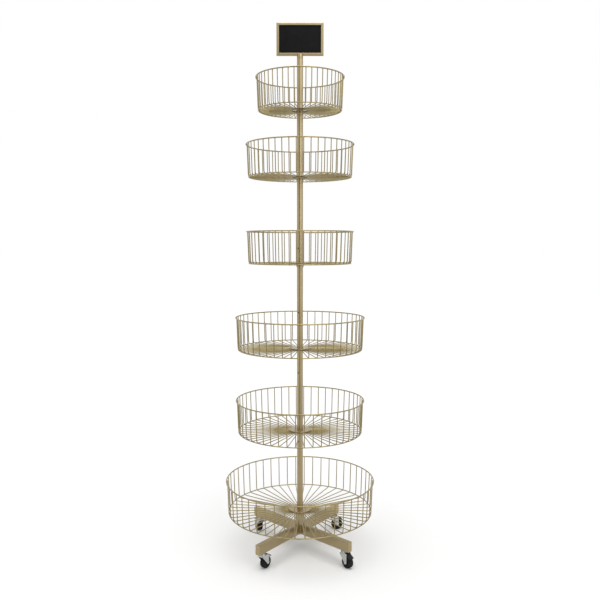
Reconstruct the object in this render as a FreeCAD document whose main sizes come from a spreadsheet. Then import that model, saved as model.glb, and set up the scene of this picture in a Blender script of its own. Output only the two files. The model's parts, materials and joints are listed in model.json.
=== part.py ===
import FreeCAD
import Part
import Sketcher
import os

# Wire basket stand: six round wire baskets that turn on one pole, a sign on top, and a cross base on casters.
# Millimetres and degrees, +Z up. The origin is on the floor under the pole, +X is right and +Y is back.

SIZES = {
    # pole
    "pole_diameter": 20,
    "pole_wall": 1.5,
    "pole_over_top_rim": 60,
    "pole_hole_diameter": 5,
    # cross base
    "arm_width": 18,
    "arm_height": 33,
    "arm_wall": 1.5,
    "arm_reach": 222,
    "end_cap_thickness": 1.5,
    "left_arm_angle": 37.5,
    "right_arm_angle": 46.5,
    "socket_wall": 5,
    "socket_height": 44.3,
    "foot_plug_height": 25,
    "bolt_diameter": 8,
    "bolt_grip_in_plug": 18,
    "bolt_head_across_corners": 15,
    "bolt_head_height": 5.3,
    # baskets, all with the same wire, depth and hub, and their rims at shares of the span from lowest to top
    "top_basket_diameter": 292,
    "upper_basket_diameter": 358,
    "lower_basket_diameter": 434,
    "base_basket_diameter": 504,
    "tier_span": 1342,
    "basket_2_share": 0.839,
    "basket_3_share": 0.6274,
    "basket_4_share": 0.4143,
    "basket_5_share": 0.2057,
    "hole_under_rim_3": 55,
    "hole_over_rim_4": 17,
    "hole_over_rim_5": 93,
    "hole_over_rim_6": 133,
    "basket_1_turn": 0,
    "basket_2_turn": 3.75,
    "basket_3_turn": 3.75,
    "basket_4_turn": 0,
    "basket_5_turn": 3.75,
    "basket_6_turn": 3.75,
    "basket_depth": 106,
    "wall_taper": 3.5,
    "wire_count": 48,
    "wire_diameter": 3,
    "wire_bend_radius": 10,
    "spoke_gap": 0.55,
    "rim_wire_diameter": 4,
    "floor_wire_diameter": 3.5,
    "floor_ring_angle": 45,
    "hub_plate_thickness": 3,
    "hub_plate_lap": 11,
    "sleeve_wall": 1.6,
    "sleeve_drop": 5,
    # stop collars and grub screws
    "collar_wall": 2,
    "collar_height": 7,
    "grub_screw_diameter": 3,
    # sign
    "sign_width": 153,
    "sign_height": 104.5,
    "sign_depth": 9,
    "sign_rail": 8.3,
    "sign_edge_chamfer": 2.5,
    "sign_groove_depth": 4,
    "panel_thickness": 2.5,
    "holder_neck": 10,
    "holder_grip": 5,
    "holder_spigot": 25,
    # casters
    "caster_height": 54.5,
    "caster_inset": 24,
    "front_left_heading": 54,
    "front_right_heading": 312,
    "back_left_heading": 118,
    "back_right_heading": 12,
    "wheel_diameter": 40,
    "wheel_trail": 15,
    "tyre_width": 17,
    "tyre_thickness": 6,
    "tyre_chamfer": 3,
    "core_width": 18,
    "core_hub_diameter": 13,
    "core_rim_thickness": 2.5,
    "core_web_thickness": 8,
    "axle_diameter": 6,
    "axle_head_diameter": 9.5,
    "axle_head_height": 1.5,
    "fork_plate": 2,
    "fork_back": 11,
    "axle_boss_diameter": 11,
    "crown_thickness": 3,
    "bearing_cup_diameter": 22,
    "stem_diameter": 8,
    "stem_rise": 12,
    "stem_flange_diameter": 18,
    "stem_flange_height": 2,
    "stem_rivet_diameter": 13,
    "stem_rivet_height": 1.8,
    "stem_nut_across_corners": 15,
    "stem_nut_height": 6.5,
    "pedal_rise": 2.5,
    "pedal_length": 22,
    "pedal_thickness": 3,
    "pedal_droop": 3.4,
    "pedal_press_angle": 19,
    "pedal_hub_diameter": 6.4,
    "pedal_pin_diameter": 3.6,
    "pedal_boss_diameter": 9,
    # fits and clearances
    "slip_fit": 0.05,
    "running_fit": 0.08,
    "thread_fit": 0.05,
    "drill_clearance": 0.25,
    "weld_sink": 0.3,
    "thrust_gap": 0.2,
    "panel_gap": 0.2,
    "swivel_gap": 0.4,
    "wheel_side_gap": 0.6,
    "wheel_top_gap": 3,
    "pedal_side_gap": 0.4,
}

# Heights and radii that several pieces share
POLE_RADIUS = "(Sizes.pole_diameter / 2)"
ARM_TOP = "(Sizes.caster_height + Sizes.arm_height)"
SWIVEL_RADIUS = "(Sizes.arm_reach - Sizes.caster_inset)"
WIRE_RADIUS = "(Sizes.wire_diameter / 2)"
SPOKE_START = "(Sizes.wire_count * (Sizes.wire_diameter + Sizes.spoke_gap) / 2 / pi)"
COLLAR_BORE = f"({POLE_RADIUS} + Sizes.slip_fit)"
SLEEVE_BORE = f"({POLE_RADIUS} + Sizes.running_fit)"
WHEEL_RADIUS = "(Sizes.wheel_diameter / 2)"
FORK_GAP = "(Sizes.core_width + 2 * Sizes.wheel_side_gap)"
FORK_WIDTH = f"({FORK_GAP} + 2 * Sizes.fork_plate)"
CROWN_BOTTOM = "(Sizes.wheel_diameter + Sizes.wheel_top_gap)"
CROWN_TOP = f"({CROWN_BOTTOM} + Sizes.crown_thickness)"
PEDAL_HEIGHT = f"({CROWN_BOTTOM} + Sizes.pedal_rise)"
LONG_BAR_TURN = "(90 - Sizes.left_arm_angle)"

# Heading of each arm about the pole, by the caster at its end
ARMS = {
    "front_left": "(270 - Sizes.left_arm_angle)",
    "front_right": "(270 + Sizes.right_arm_angle)",
    "back_left": "(90 + Sizes.right_arm_angle)",
    "back_right": "(90 - Sizes.left_arm_angle)",
}

# Outer rim diameter of each basket, from the top one down
BASKETS = {
    1: "Sizes.top_basket_diameter",
    2: "Sizes.upper_basket_diameter",
    3: "Sizes.upper_basket_diameter",
    4: "Sizes.lower_basket_diameter",
    5: "Sizes.lower_basket_diameter",
    6: "Sizes.base_basket_diameter",
}
LOWEST_BASKET = max(BASKETS)

# Height of each rim. The lowest basket stands on the socket, and the others share out the span over it.
LOWEST_SEAT = f"({ARM_TOP} + Sizes.socket_height)"
LOWEST_RIM = f"({LOWEST_SEAT} + Sizes.thrust_gap + Sizes.sleeve_drop + Sizes.basket_depth)"
RIMS = {
    1: f"({LOWEST_RIM} + Sizes.tier_span)",
    2: f"({LOWEST_RIM} + Sizes.tier_span * Sizes.basket_2_share)",
    3: f"({LOWEST_RIM} + Sizes.tier_span * Sizes.basket_3_share)",
    4: f"({LOWEST_RIM} + Sizes.tier_span * Sizes.basket_4_share)",
    5: f"({LOWEST_RIM} + Sizes.tier_span * Sizes.basket_5_share)",
    6: LOWEST_RIM,
}

POLE_TOP = f"({RIMS[1]} + Sizes.pole_over_top_rim)"
SIGN_BOTTOM = f"({POLE_TOP} + Sizes.holder_neck)"

# Cross holes through the pole
POLE_HOLES = [
    f"({RIMS[3]} - Sizes.hole_under_rim_3)",
    f"({RIMS[4]} + Sizes.hole_over_rim_4)",
    f"({RIMS[5]} + Sizes.hole_over_rim_5)",
    f"({RIMS[6]} + Sizes.hole_over_rim_6)",
]

doc = FreeCAD.newDocument("WireBasketStand")
sheet = doc.addObject("Spreadsheet::Sheet", "Sizes")
for row, (alias, size) in enumerate(SIZES.items(), start=1):
    sheet.set(f"A{row}", alias)
    sheet.set(f"B{row}", str(size))
    sheet.setAlias(f"B{row}", alias)
doc.recompute()

nodes = []


def number(expression):
    """The value that an expression of the sheet's sizes has now."""
    return float(sheet.evalExpression(expression))


def node(piece, label):
    """Name a finished piece and list it for export."""
    piece.Label = label
    nodes.append(piece)
    return piece


def place(piece, x="0", y="0", z="0", turn="0", axis="0; 0; 1"):
    """Bind a piece's place to expressions, turned about an axis."""
    piece.setExpression("Placement", f"placement(vector({x}; {y}; {z}); rotation(vector({axis}); {turn}))")
    return piece


def primitive(kind, **sizes):
    """A primitive whose properties are bound to expressions."""
    piece = doc.addObject(kind, kind.split("::")[1])
    for name, expression in sizes.items():
        piece.setExpression(name, expression)
    return piece


def combine(kind, base, tool):
    """A cut or a fuse of two pieces."""
    piece = doc.addObject(kind, kind.split("::")[1])
    piece.Base = base
    piece.Tool = tool
    return piece


def group(pieces, label):
    """One node that holds several separate solids."""
    piece = doc.addObject("Part::Compound", "Group")
    piece.Links = pieces
    return node(piece, label)


def new_body(name):
    """An empty body."""
    return doc.addObject("PartDesign::Body", name)


def new_sketch(body, plane):
    """A sketch on one of the body's own origin planes."""
    sketch = body.newObject("Sketcher::SketchObject", "Sketch")
    support = [feature for feature in body.Origin.OriginFeatures if feature.Role == plane]
    sketch.AttachmentSupport = [(support[0], "")]
    sketch.MapMode = "FlatFace"
    return sketch


def bind_point(sketch, geometry, point, x, y):
    """Hold a point of a sketch at two expressions from the sketch's origin."""
    for kind, expression in (("DistanceX", x), ("DistanceY", y)):
        rule = Sketcher.Constraint(kind, -1, 1, geometry, point, number(expression))
        index = sketch.addConstraint(rule)
        sketch.setExpression(f"Constraints[{index}]", expression)


def bind_radius(sketch, geometry, radius):
    """Hold a circle's or an arc's radius at an expression."""
    index = sketch.addConstraint(Sketcher.Constraint("Radius", geometry, number(radius)))
    sketch.setExpression(f"Constraints[{index}]", radius)


def polygon(sketch, corners):
    """A closed outline through corners given as pairs of expressions."""
    points = [FreeCAD.Vector(number(x), number(y), 0) for x, y in corners]
    ends = points[1:] + points[:1]
    lines = [sketch.addGeometry(Part.LineSegment(a, b)) for a, b in zip(points, ends)]
    for line, following in zip(lines, lines[1:] + lines[:1]):
        sketch.addConstraint(Sketcher.Constraint("Coincident", line, 2, following, 1))
    for line, (x, y) in zip(lines, corners):
        bind_point(sketch, line, 1, x, y)


def rectangle(sketch, left, right, bottom, top):
    """A rectangle between four expressions."""
    polygon(sketch, [(left, bottom), (right, bottom), (right, top), (left, top)])


def circle(sketch, x, y, radius):
    """A circle whose centre and radius are expressions."""
    centre = FreeCAD.Vector(number(x), number(y), 0)
    ring = sketch.addGeometry(Part.Circle(centre, FreeCAD.Vector(0, 0, 1), number(radius)))
    bind_point(sketch, ring, 3, x, y)
    bind_radius(sketch, ring, radius)


def pad(body, sketch, length, both_ways=False):
    """A pad of a sketch, to one side or half to each side."""
    feature = body.newObject("PartDesign::Pad", "Pad")
    feature.Profile = sketch
    feature.Midplane = both_ways
    feature.setExpression("Length", length)
    return feature


def pocket(body, sketch, length=None, both_ways=False, upward=False):
    """A pocket of a sketch, through everything unless a length is given. It has to take material away."""
    doc.recompute()
    before = body.Shape.Volume
    feature = body.newObject("PartDesign::Pocket", "Pocket")
    feature.Profile = sketch
    feature.Midplane = both_ways
    feature.Reversed = upward
    if length is None:
        feature.Type = "ThroughAll"
    else:
        feature.setExpression("Length", length)
    doc.recompute()
    if body.Shape.Volume >= before:
        raise RuntimeError(f"{body.Name}: a pocket cuts nothing")
    return feature


def turned(name, corners, axis="Z"):
    """A body turned about its own Z or Y axis from an outline of radius and height pairs."""
    body = new_body(name)
    sketch = new_sketch(body, "XZ_Plane" if axis == "Z" else "XY_Plane")
    polygon(sketch, corners)
    revolution = body.newObject("PartDesign::Revolution", "Revolution")
    revolution.Profile = sketch
    revolution.ReferenceAxis = (sketch, ["V_Axis"])
    revolution.Angle = 360
    return body


def ring_outline(inner, outer, bottom, top):
    """The turned outline of a plain ring."""
    return [(inner, bottom), (outer, bottom), (outer, top), (inner, top)]


def bar(name, length, both_ways, hollow=True):
    """A rectangular tube along X, with its underside at zero height."""
    body = new_body(name)
    sketch = new_sketch(body, "YZ_Plane")
    rectangle(sketch, "-Sizes.arm_width / 2", "Sizes.arm_width / 2", "0", "Sizes.arm_height")
    if hollow:
        side = "(Sizes.arm_width / 2 - Sizes.arm_wall)"
        rectangle(sketch, f"-{side}", side, "Sizes.arm_wall", "Sizes.arm_height - Sizes.arm_wall")
    pad(body, sketch, length, both_ways)
    return body


def drill_bar(body, places, diameter, length=None):
    """Round holes from the underside of a bar, through it or only through its lower wall."""
    sketch = new_sketch(body, "XY_Plane")
    for x in places:
        circle(sketch, x, "0", f"{diameter} / 2 + Sizes.drill_clearance")
    pocket(body, sketch, length, upward=True)


def base():
    """The cross of one long bar and two half bars, its end plates and the pole's socket."""
    tube_end = "(Sizes.arm_reach - Sizes.end_cap_thickness)"
    lower_wall = "2 * Sizes.arm_wall"

    long_bar = bar("LongBar", f"2 * {tube_end}", True)
    drill_bar(long_bar, ["0"], "Sizes.bolt_diameter")
    drill_bar(long_bar, [f"-{SWIVEL_RADIUS}", SWIVEL_RADIUS], "Sizes.stem_diameter", lower_wall)
    node(place(long_bar, z="Sizes.caster_height", turn=LONG_BAR_TURN), "base_long_bar")

    for side, arm in (("right", "front_right"), ("left", "back_left")):
        half_bar = bar("HalfBar", tube_end, False)
        drill_bar(half_bar, [SWIVEL_RADIUS], "Sizes.stem_diameter", lower_wall)
        place(half_bar, z="Sizes.caster_height", turn=ARMS[arm])
        notch = bar("Notch", f"2 * {tube_end}", True, hollow=False)
        place(notch, z="Sizes.caster_height", turn=LONG_BAR_TURN)
        node(combine("Part::Cut", half_bar, notch), f"base_half_bar_{side}")

    caps = []
    for heading in ARMS.values():
        cap = primitive("Part::Box", Length="Sizes.end_cap_thickness", Width="Sizes.arm_width",
                        Height="Sizes.arm_height")
        x = f"{tube_end} * cos({heading}) + Sizes.arm_width / 2 * sin({heading})"
        y = f"{tube_end} * sin({heading}) - Sizes.arm_width / 2 * cos({heading})"
        caps.append(place(cap, x, y, "Sizes.caster_height", heading))
    group(caps, "arm_end_caps")


def spoke_height(basket):
    """Height of a basket's floor wires."""
    return f"({RIMS[basket]} - Sizes.basket_depth)"


def sleeve_seat(basket):
    """Height at which a basket's sleeve rests on what carries it."""
    return f"({spoke_height(basket)} - Sizes.sleeve_drop - Sizes.thrust_gap)"


def drilled_ring(name, outer, height):
    """A ring round the pole with a hole for a grub screw at its back."""
    body = turned(name, ring_outline(COLLAR_BORE, outer, "0", height))
    sketch = new_sketch(body, "XZ_Plane")
    circle(sketch, "0", f"{height} / 2", "Sizes.grub_screw_diameter / 2 + Sizes.thread_fit")
    pocket(body, sketch)
    return body


def grub_screw(outer, height):
    """A grub screw from the pole's surface to the outside of its ring."""
    screw = primitive("Part::Cylinder", Radius="Sizes.grub_screw_diameter / 2",
                      Height=f"{outer} - {POLE_RADIUS} - Sizes.slip_fit")
    return place(screw, y=POLE_RADIUS, z=height, turn="-90", axis="1; 0; 0")


def pole():
    """The pole with its fixings, and the collars that carry the baskets."""
    tube = turned("Pole", ring_outline(f"({POLE_RADIUS} - Sizes.pole_wall)", POLE_RADIUS, ARM_TOP, POLE_TOP))
    holes = new_sketch(tube, "YZ_Plane")
    for height in POLE_HOLES:
        circle(holes, "0", height, "Sizes.pole_hole_diameter / 2")
    pocket(tube, holes, both_ways=True)
    node(place(tube, turn=LONG_BAR_TURN), "pole")

    plug_radius = f"({POLE_RADIUS} - Sizes.pole_wall - Sizes.slip_fit)"
    plug = turned("FootPlug", ring_outline("Sizes.bolt_diameter / 2 + Sizes.thread_fit", plug_radius,
                                           ARM_TOP, f"{ARM_TOP} + Sizes.foot_plug_height"))
    node(plug, "pole_foot_plug")

    shank = primitive("Part::Cylinder", Radius="Sizes.bolt_diameter / 2",
                      Height="Sizes.arm_height + Sizes.bolt_grip_in_plug")
    place(shank, z="Sizes.caster_height")
    head = primitive("Part::Prism", Circumradius="Sizes.bolt_head_across_corners / 2",
                     Height="Sizes.bolt_head_height")
    place(head, z="Sizes.caster_height - Sizes.bolt_head_height")
    node(combine("Part::Fuse", head, shank), "pole_bolt")

    socket_outer = f"({COLLAR_BORE} + Sizes.socket_wall)"
    socket = drilled_ring("Socket", socket_outer, "Sizes.socket_height")
    node(place(socket, z=ARM_TOP), "base_socket")

    collars = []
    screws = [grub_screw(socket_outer, f"{ARM_TOP} + Sizes.socket_height / 2")]
    collar_outer = f"({COLLAR_BORE} + Sizes.collar_wall)"
    for basket in BASKETS:
        if basket == LOWEST_BASKET:
            continue
        collar = drilled_ring("Collar", collar_outer, "Sizes.collar_height")
        collars.append(place(collar, z=f"{sleeve_seat(basket)} - Sizes.collar_height"))
        screws.append(grub_screw(collar_outer, f"{sleeve_seat(basket)} - Sizes.collar_height / 2"))
    group(collars, "stop_collars")
    group(screws, "grub_screws")


def basket_wires(top_radius, foot_radius):
    """One wire from the hub along the floor, round its bend and up the wall, repeated round the basket."""
    body = new_body("Wires")
    centre_x = f"({foot_radius} - Sizes.wire_bend_radius)"
    start = FreeCAD.Vector(number(SPOKE_START), 0, 0)
    bend_start = FreeCAD.Vector(number(centre_x), 0, 0)
    centre = bend_start + FreeCAD.Vector(0, number("Sizes.wire_bend_radius"), 0)
    bend_end = centre + FreeCAD.Vector(number("Sizes.wire_bend_radius"), 0, 0)
    top = FreeCAD.Vector(number(top_radius), number("Sizes.basket_depth"), 0)
    quarter = Part.Circle(centre, FreeCAD.Vector(0, 0, 1), number("Sizes.wire_bend_radius"))

    path = new_sketch(body, "XZ_Plane")
    spoke = path.addGeometry(Part.LineSegment(start, bend_start))
    bend_arc = Part.ArcOfCircle(quarter, quarter.parameter(bend_start), quarter.parameter(bend_end))
    bend = path.addGeometry(bend_arc)
    wall = path.addGeometry(Part.LineSegment(bend_end, top))
    path.addConstraint(Sketcher.Constraint("Horizontal", spoke))
    path.addConstraint(Sketcher.Constraint("Tangent", spoke, 2, bend, 1))
    path.addConstraint(Sketcher.Constraint("Tangent", bend, 2, wall, 1))
    bind_point(path, spoke, 1, SPOKE_START, "0")
    bind_radius(path, bend, "Sizes.wire_bend_radius")
    rule = Sketcher.Constraint("DistanceX", -1, 1, bend, 3, number(centre_x))
    index = path.addConstraint(rule)
    path.setExpression(f"Constraints[{index}]", centre_x)
    bind_point(path, wall, 2, top_radius, "Sizes.basket_depth")

    section = new_sketch(body, "YZ_Plane")
    section.setExpression("AttachmentOffset.Base.z", SPOKE_START)
    circle(section, "0", "0", WIRE_RADIUS)
    doc.recompute()

    wire = body.newObject("PartDesign::AdditivePipe", "Wire")
    wire.Profile = section
    wire.Spine = path
    doc.recompute()
    pattern = body.newObject("PartDesign::PolarPattern", "Round")
    pattern.Originals = [wire]
    pattern.Axis = ([f for f in body.Origin.OriginFeatures if f.Role == "Z_Axis"][0], [""])
    pattern.Angle = 360
    pattern.setExpression("Occurrences", "Sizes.wire_count")
    body.Tip = pattern
    return body


def basket(index, diameter):
    """A basket: its wires, the rim ring, the floor ring outside their bends, and the hub on the pole."""
    floor = spoke_height(index)
    rim_radius = f"({diameter} / 2 - Sizes.rim_wire_diameter / 2)"
    top_radius = f"({rim_radius} - Sizes.rim_wire_diameter / 2 - {WIRE_RADIUS} + Sizes.weld_sink)"
    foot_radius = f"({top_radius} - Sizes.wall_taper)"
    turn = f"Sizes.basket_{index}_turn"

    wires = basket_wires(top_radius, foot_radius)
    node(place(wires, z=floor, turn=turn), f"basket_{index}_wires")

    rim = primitive("Part::Torus", Radius1=rim_radius, Radius2="Sizes.rim_wire_diameter / 2")
    node(place(rim, z=RIMS[index]), f"basket_{index}_rim_ring")

    around = f"(Sizes.wire_bend_radius + {WIRE_RADIUS} + Sizes.floor_wire_diameter / 2 - Sizes.weld_sink)"
    out = f"({around} * cos(Sizes.floor_ring_angle) - Sizes.wire_bend_radius)"
    down = f"({around} * sin(Sizes.floor_ring_angle) - Sizes.wire_bend_radius)"
    ring = primitive("Part::Torus", Radius1=f"{foot_radius} + {out}", Radius2="Sizes.floor_wire_diameter / 2")
    node(place(ring, z=f"{floor} - {down}"), f"basket_{index}_floor_ring")

    sleeve = f"({SLEEVE_BORE} + Sizes.sleeve_wall)"
    plate = f"({SPOKE_START} + Sizes.hub_plate_lap)"
    under = f"({WIRE_RADIUS} - Sizes.weld_sink)"
    over = f"({under} + Sizes.hub_plate_thickness)"
    hub = turned("Hub", [
        (SLEEVE_BORE, "-Sizes.sleeve_drop"),
        (sleeve, "-Sizes.sleeve_drop"),
        (sleeve, under),
        (plate, under),
        (plate, over),
        (SLEEVE_BORE, over),
    ])
    node(place(hub, z=floor), f"basket_{index}_hub")


def sign():
    """The sign frame with its panel, and the slotted holder in the top of the pole."""
    side = "(Sizes.sign_width / 2)"
    opening = f"({side} - Sizes.sign_rail)"
    groove = f"({opening} + Sizes.sign_groove_depth)"
    groove_bottom = "(Sizes.sign_rail - Sizes.sign_groove_depth)"

    frame = new_body("SignFrame")
    outline = new_sketch(frame, "XZ_Plane")
    rectangle(outline, f"-{side}", side, "0", "Sizes.sign_height")
    rectangle(outline, f"-{opening}", opening, "Sizes.sign_rail", "Sizes.sign_height - Sizes.sign_rail")
    rails = pad(frame, outline, "Sizes.sign_depth", both_ways=True)
    doc.recompute()
    front = number("-Sizes.sign_depth / 2")
    reach = number(opening)
    low = number("Sizes.sign_rail")
    high = number("Sizes.sign_height - Sizes.sign_rail")
    outer_edges = []
    for place_in_list, edge in enumerate(rails.Shape.Edges, start=1):
        box = edge.BoundBox
        outside = box.XMin > reach or box.XMax < -reach or box.ZMin > high or box.ZMax < low
        if outside and abs(box.YMin - front) < box.DiagonalLength / 1000 and box.YLength < -front:
            outer_edges.append(f"Edge{place_in_list}")
    chamfer = frame.newObject("PartDesign::Chamfer", "Chamfer")
    chamfer.Base = (rails, outer_edges)
    chamfer.setExpression("Size", "Sizes.sign_edge_chamfer")
    doc.recompute()
    slot = new_sketch(frame, "XZ_Plane")
    rectangle(slot, f"-{groove}", groove, groove_bottom, "Sizes.sign_height")
    pocket(frame, slot, "Sizes.panel_thickness + 2 * Sizes.panel_gap", both_ways=True)
    node(place(frame, z=SIGN_BOTTOM), "sign_frame")

    panel_side = f"({groove} - Sizes.panel_gap)"
    panel = primitive("Part::Box", Length=f"2 * {panel_side}", Width="Sizes.panel_thickness",
                      Height=f"Sizes.sign_height - {groove_bottom}")
    node(place(panel, f"-{panel_side}", "-Sizes.panel_thickness / 2", f"{SIGN_BOTTOM} + {groove_bottom}"),
         "sign_panel")

    spigot = f"({POLE_RADIUS} - Sizes.pole_wall - Sizes.slip_fit)"
    holder = turned("SignHolder", [
        ("0", "-Sizes.holder_spigot"),
        (spigot, "-Sizes.holder_spigot"),
        (spigot, "0"),
        (POLE_RADIUS, "0"),
        (POLE_RADIUS, "Sizes.holder_neck + Sizes.holder_grip"),
        ("0", "Sizes.holder_neck + Sizes.holder_grip"),
    ])
    gap = new_sketch(holder, "YZ_Plane")
    half_gap = "(Sizes.sign_depth / 2 + Sizes.slip_fit)"
    rectangle(gap, f"-{half_gap}", half_gap, "Sizes.holder_neck", "Sizes.holder_neck + Sizes.holder_grip")
    pocket(holder, gap, both_ways=True)
    node(place(holder, z=POLE_TOP), "sign_holder")


def swivel_place(arm):
    """Where the stem at the end of an arm stands."""
    return f"{SWIVEL_RADIUS} * cos({ARMS[arm]})", f"{SWIVEL_RADIUS} * sin({ARMS[arm]})"


def caster_stems():
    """The threaded stems that the forks swivel on, and the nuts inside the arms."""
    stem = "Sizes.stem_diameter / 2"
    rivet = "Sizes.stem_rivet_diameter / 2"
    flange = "Sizes.stem_flange_diameter / 2"
    rivet_top = f"({CROWN_BOTTOM} - Sizes.thrust_gap)"
    rivet_bottom = f"({rivet_top} - Sizes.stem_rivet_height)"
    flange_bottom = "(Sizes.caster_height - Sizes.stem_flange_height)"
    stem_top = "(Sizes.caster_height + Sizes.stem_rise)"
    stems = []
    nuts = []
    for arm, heading in ARMS.items():
        x, y = swivel_place(arm)
        body = turned("Stem", [
            ("0", rivet_bottom),
            (rivet, rivet_bottom),
            (rivet, rivet_top),
            (stem, rivet_top),
            (stem, flange_bottom),
            (flange, flange_bottom),
            (flange, "Sizes.caster_height"),
            (stem, "Sizes.caster_height"),
            (stem, stem_top),
            ("0", stem_top),
        ])
        stems.append(place(body, x, y))
        block = primitive("Part::Prism", Circumradius="Sizes.stem_nut_across_corners / 2",
                          Height="Sizes.stem_nut_height")
        place(block, x, y, "Sizes.caster_height + Sizes.arm_wall", heading)
        thread = primitive("Part::Cylinder", Radius=f"{stem} + Sizes.thread_fit",
                           Height="Sizes.stem_nut_height")
        place(thread, x, y, "Sizes.caster_height + Sizes.arm_wall", heading)
        nuts.append(combine("Part::Cut", block, thread))
    group(stems, "caster_stems")
    group(nuts, "stem_nuts")


def caster_fork():
    """A pressed fork in its own frame: legs, crown and bearing cup, bored for stem, axle and pedal."""
    trail = "Sizes.wheel_trail"
    boss = "(Sizes.axle_boss_diameter / 2)"
    pin_boss = "(Sizes.pedal_boss_diameter / 2)"
    body = new_body("Fork")
    side = new_sketch(body, "XZ_Plane")
    polygon(side, [
        ("-Sizes.fork_back", CROWN_BOTTOM),
        (f"{trail} - {boss}", WHEEL_RADIUS),
        (f"{trail} + {boss}", WHEEL_RADIUS),
        (f"{trail} + {pin_boss}", PEDAL_HEIGHT),
        (trail, f"{PEDAL_HEIGHT} + {pin_boss}"),
        ("-Sizes.fork_back", CROWN_TOP),
    ])
    pad(body, side, FORK_WIDTH, both_ways=True)
    for height, radius in ((WHEEL_RADIUS, boss), (PEDAL_HEIGHT, pin_boss)):
        round_end = new_sketch(body, "XZ_Plane")
        circle(round_end, trail, height, radius)
        pad(body, round_end, FORK_WIDTH, both_ways=True)

    inside = new_sketch(body, "XZ_Plane")
    far = f"({trail} + {WHEEL_RADIUS})"
    recess = f"({trail} - {pin_boss})"
    ceiling = "Sizes.caster_height"
    polygon(inside, [
        ("-Sizes.fork_back * 2", "0"),
        (far, "0"),
        (far, ceiling),
        (recess, ceiling),
        (recess, CROWN_BOTTOM),
        ("-Sizes.fork_back * 2", CROWN_BOTTOM),
    ])
    pocket(body, inside, FORK_GAP, both_ways=True)

    cup = new_sketch(body, "XY_Plane")
    cup.setExpression("AttachmentOffset.Base.z", CROWN_BOTTOM)
    circle(cup, "0", "0", "Sizes.bearing_cup_diameter / 2")
    pad(body, cup, f"Sizes.caster_height - Sizes.stem_flange_height - Sizes.swivel_gap - {CROWN_BOTTOM}")
    bore = new_sketch(body, "XY_Plane")
    circle(bore, "0", "0", "Sizes.stem_diameter / 2 + Sizes.running_fit")
    pocket(body, bore, upward=True)
    pins = new_sketch(body, "XZ_Plane")
    circle(pins, trail, WHEEL_RADIUS, "Sizes.axle_diameter / 2 + Sizes.slip_fit")
    circle(pins, trail, PEDAL_HEIGHT, "Sizes.pedal_pin_diameter / 2 + Sizes.running_fit")
    pocket(body, pins, both_ways=True)
    return body


def caster_pedal():
    """A pressed brake pedal in the fork's frame: a tongue over the wheel, its hub and its pins."""
    trail = "Sizes.wheel_trail"
    width = f"({FORK_GAP} - 2 * Sizes.pedal_side_gap)"
    half = "(Sizes.pedal_thickness / 2)"
    length = "Sizes.pedal_length"
    droop = "Sizes.pedal_droop"
    across = "cos(Sizes.pedal_press_angle)"
    down = "sin(Sizes.pedal_press_angle)"
    flat = [("0", f"-{half}"), (length, f"(-{half} - {droop})"), (length, f"({half} - {droop})"), ("0", half)]
    corners = []
    for along, up in flat:
        corners.append((
            f"{trail} + {along} * {across} + {up} * {down}",
            f"{PEDAL_HEIGHT} - {along} * {down} + {up} * {across}",
        ))
    body = new_body("Pedal")
    tongue = new_sketch(body, "XZ_Plane")
    polygon(tongue, corners)
    pad(body, tongue, width, both_ways=True)
    rounds = (("Sizes.pedal_hub_diameter / 2", width), ("Sizes.pedal_pin_diameter / 2", FORK_WIDTH))
    for radius, length in rounds:
        round_part = new_sketch(body, "XZ_Plane")
        circle(round_part, trail, PEDAL_HEIGHT, radius)
        pad(body, round_part, length, both_ways=True)
    return body


def caster_wheel_outlines():
    """Turned outlines of the tyre, the core and the axle, as radius and place along the axle."""
    outer = WHEEL_RADIUS
    seat = f"({outer} - Sizes.tyre_thickness)"
    tyre_side = "(Sizes.tyre_width / 2)"
    shoulder = f"({outer} - Sizes.tyre_chamfer)"
    tread_side = f"({tyre_side} - Sizes.tyre_chamfer)"
    tyre = [
        (seat, f"-{tyre_side}"),
        (shoulder, f"-{tyre_side}"),
        (outer, f"-{tread_side}"),
        (outer, tread_side),
        (shoulder, tyre_side),
        (seat, tyre_side),
    ]
    bore = "(Sizes.axle_diameter / 2 + Sizes.running_fit)"
    hub = "(Sizes.core_hub_diameter / 2)"
    rim = f"({seat} - Sizes.slip_fit)"
    rim_inside = f"({rim} - Sizes.core_rim_thickness)"
    web = "(Sizes.core_web_thickness / 2)"
    hub_side = "(Sizes.core_width / 2)"
    core_half = [(rim, tyre_side), (rim_inside, tyre_side), (rim_inside, web), (hub, web), (hub, hub_side),
                 (bore, hub_side)]
    core = core_half + [(radius, f"-{along}") for radius, along in reversed(core_half)]
    pin = "(Sizes.axle_diameter / 2)"
    head = "(Sizes.axle_head_diameter / 2)"
    fork_side = f"({FORK_WIDTH} / 2)"
    head_side = f"({fork_side} + Sizes.axle_head_height)"
    axle_half = [(pin, fork_side), (head, fork_side), (head, head_side), ("0", head_side)]
    axle = axle_half + [(radius, f"-{along}") for radius, along in reversed(axle_half)]
    return {"tyre": tyre, "core": core, "axle": axle}


def caster(arm):
    """One braked swivel caster under the end of an arm."""
    x, y = swivel_place(arm)
    heading = f"Sizes.{arm}_heading"
    node(place(caster_fork(), x, y, turn=heading), f"caster_{arm}_fork")
    node(place(caster_pedal(), x, y, turn=heading), f"caster_{arm}_pedal")
    wheel_x = f"{x} + Sizes.wheel_trail * cos({heading})"
    wheel_y = f"{y} + Sizes.wheel_trail * sin({heading})"
    for piece, outline in caster_wheel_outlines().items():
        body = turned(piece.capitalize(), outline, axis="Y")
        node(place(body, wheel_x, wheel_y, WHEEL_RADIUS, heading), f"caster_{arm}_{piece}")


base()
pole()
for number_from_top, rim_diameter in BASKETS.items():
    basket(number_from_top, rim_diameter)
sign()
caster_stems()
for arm_name in ARMS:
    caster(arm_name)
doc.recompute()

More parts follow.
